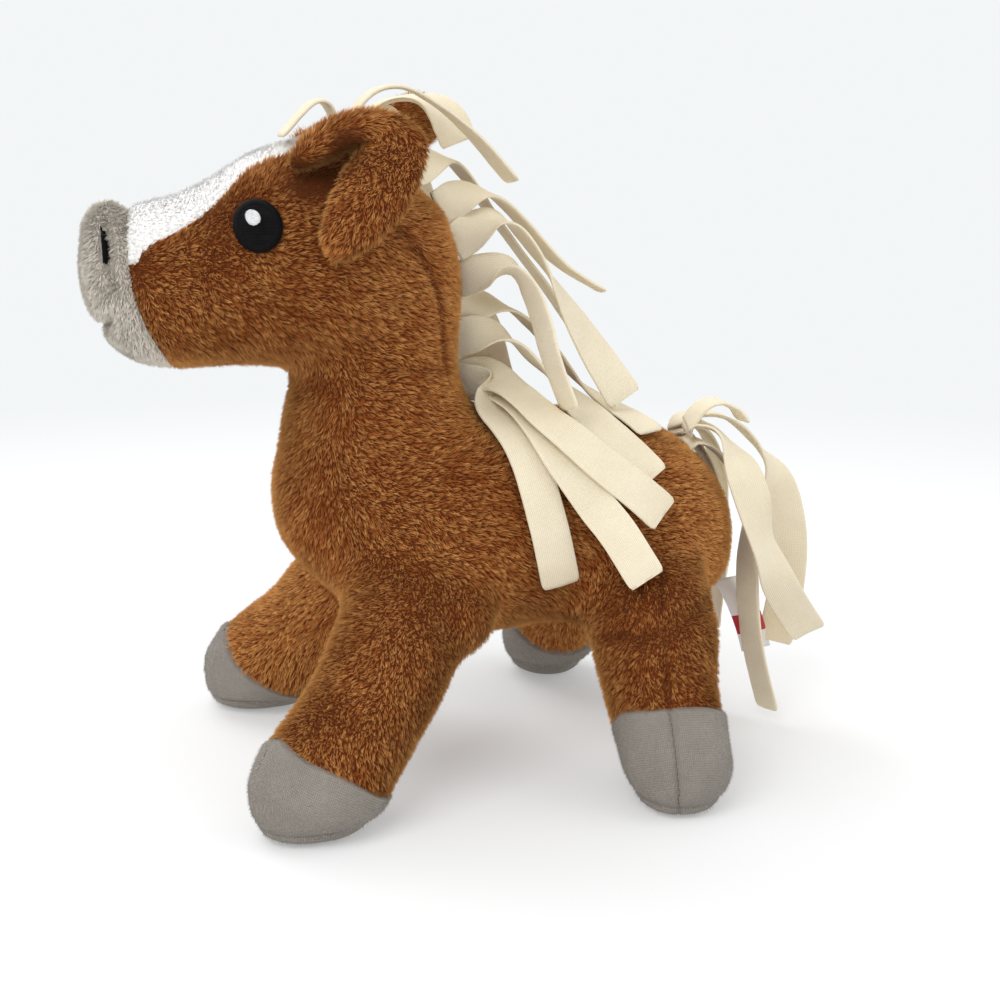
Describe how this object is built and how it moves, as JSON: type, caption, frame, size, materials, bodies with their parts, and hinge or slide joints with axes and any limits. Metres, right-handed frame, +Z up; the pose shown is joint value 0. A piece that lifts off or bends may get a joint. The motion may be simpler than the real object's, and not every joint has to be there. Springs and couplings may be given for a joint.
{
  "type": "plush horse",
  "caption": "Small stuffed plush horse standing on four splayed legs, with embroidered eyes, soft ears and a mane and tail of loose cloth strips.",
  "frame": {"origin": "middle of the bounding box on the ground, under the four soles", "axes": "+Z up; the horse faces -X; its left side is -Y, its right side +Y"},
  "size_m": [0.1858, 0.1308, 0.165],
  "materials": {
    "brown_plush": "short brushed pile, matt",
    "white_plush": "short brushed pile, matt",
    "grey_plush": "short brushed pile, matt",
    "grey_knit": "fine brushed knit, matt",
    "cream_knit": "knitted strip, matt",
    "fibre_fill": "loose polyester fibre",
    "black_thread": "satin-stitch thread, slight sheen",
    "white_thread": "satin-stitch thread, slight sheen",
    "satin_label": "woven satin tape"
  },
  "bodies": {
    "torso": {"torso_skin_left": "brown_plush", "torso_skin_right": "brown_plush", "torso_stuffing": "fibre_fill", "care_label": "satin_label", "head_skin_left": "brown_plush", "head_skin_right": "brown_plush", "blaze_panel": "white_plush", "muzzle_cap": "grey_plush", "head_stuffing": "fibre_fill", "eye_left": "black_thread", "eye_glint_left": "white_thread", "nostril_left": "black_thread", "eye_right": "black_thread", "eye_glint_right": "white_thread", "nostril_right": "black_thread", "mane_strip_01": "cream_knit", "mane_strip_02": "cream_knit", "mane_strip_03": "cream_knit", "mane_strip_04": "cream_knit", "mane_strip_05": "cream_knit", "mane_strip_06": "cream_knit", "mane_strip_07": "cream_knit", "mane_strip_08": "cream_knit", "mane_strip_09": "cream_knit", "mane_strip_10": "cream_knit", "mane_strip_11": "cream_knit", "forelock_strip_01": "cream_knit", "forelock_strip_02": "cream_knit", "forelock_strip_03": "cream_knit"},
    "ear_left": {"ear_left": "brown_plush"},
    "ear_right": {"ear_right": "brown_plush"},
    "tail": {"tail_strip_01": "cream_knit", "tail_strip_02": "cream_knit", "tail_strip_03": "cream_knit", "tail_strip_04": "cream_knit", "tail_strip_05": "cream_knit", "tail_strip_06": "cream_knit"},
    "leg_front_left": {"leg_front_left": "brown_plush", "hoof_front_left": "grey_knit", "sole_front_left": "grey_knit", "leg_stuffing_front_left": "fibre_fill"},
    "leg_front_right": {"leg_front_right": "brown_plush", "hoof_front_right": "grey_knit", "sole_front_right": "grey_knit", "leg_stuffing_front_right": "fibre_fill"},
    "leg_hind_left": {"leg_hind_left": "brown_plush", "hoof_hind_left": "grey_knit", "sole_hind_left": "grey_knit", "leg_stuffing_hind_left": "fibre_fill"},
    "leg_hind_right": {"leg_hind_right": "brown_plush", "hoof_hind_right": "grey_knit", "sole_hind_right": "grey_knit", "leg_stuffing_hind_right": "fibre_fill"}
  },
  "joints": [
    {"name": "hip_front_left", "type": "hinge", "parent": "torso", "child": "leg_front_left", "pos_m": [-0.01837, -0.0156, 0.0517], "axis": [0, 1, 0], "range_deg": [-12, 12], "stiffness_Nm_per_rad": 1},
    {"name": "hip_front_right", "type": "hinge", "parent": "torso", "child": "leg_front_right", "pos_m": [-0.01837, 0.0156, 0.0517], "axis": [0, 1, 0], "range_deg": [-12, 12], "stiffness_Nm_per_rad": 1},
    {"name": "hip_hind_left", "type": "hinge", "parent": "torso", "child": "leg_hind_left", "pos_m": [0.03863, -0.0156, 0.0517], "axis": [0, 1, 0], "range_deg": [-12, 12], "stiffness_Nm_per_rad": 1},
    {"name": "hip_hind_right", "type": "hinge", "parent": "torso", "child": "leg_hind_right", "pos_m": [0.03863, 0.0156, 0.0517], "axis": [0, 1, 0], "range_deg": [-12, 12], "stiffness_Nm_per_rad": 1},
    {"name": "ear_left_flap", "type": "hinge", "parent": "torso", "child": "ear_left", "pos_m": [-0.042, -0.0215, 0.149], "axis": [-1, 0, 0], "range_deg": [0, 40], "stiffness_Nm_per_rad": 0.02},
    {"name": "ear_right_flap", "type": "hinge", "parent": "torso", "child": "ear_right", "pos_m": [-0.03914, 0.02394, 0.1489], "axis": [0, -0.7071, 0.7071], "range_deg": [0, 40], "stiffness_Nm_per_rad": 0.02},
    {"name": "tail_lift", "type": "hinge", "parent": "torso", "child": "tail", "pos_m": [0.0546, 0, 0.0778], "axis": [0, -1, 0], "range_deg": [0, 60]}
  ]
}
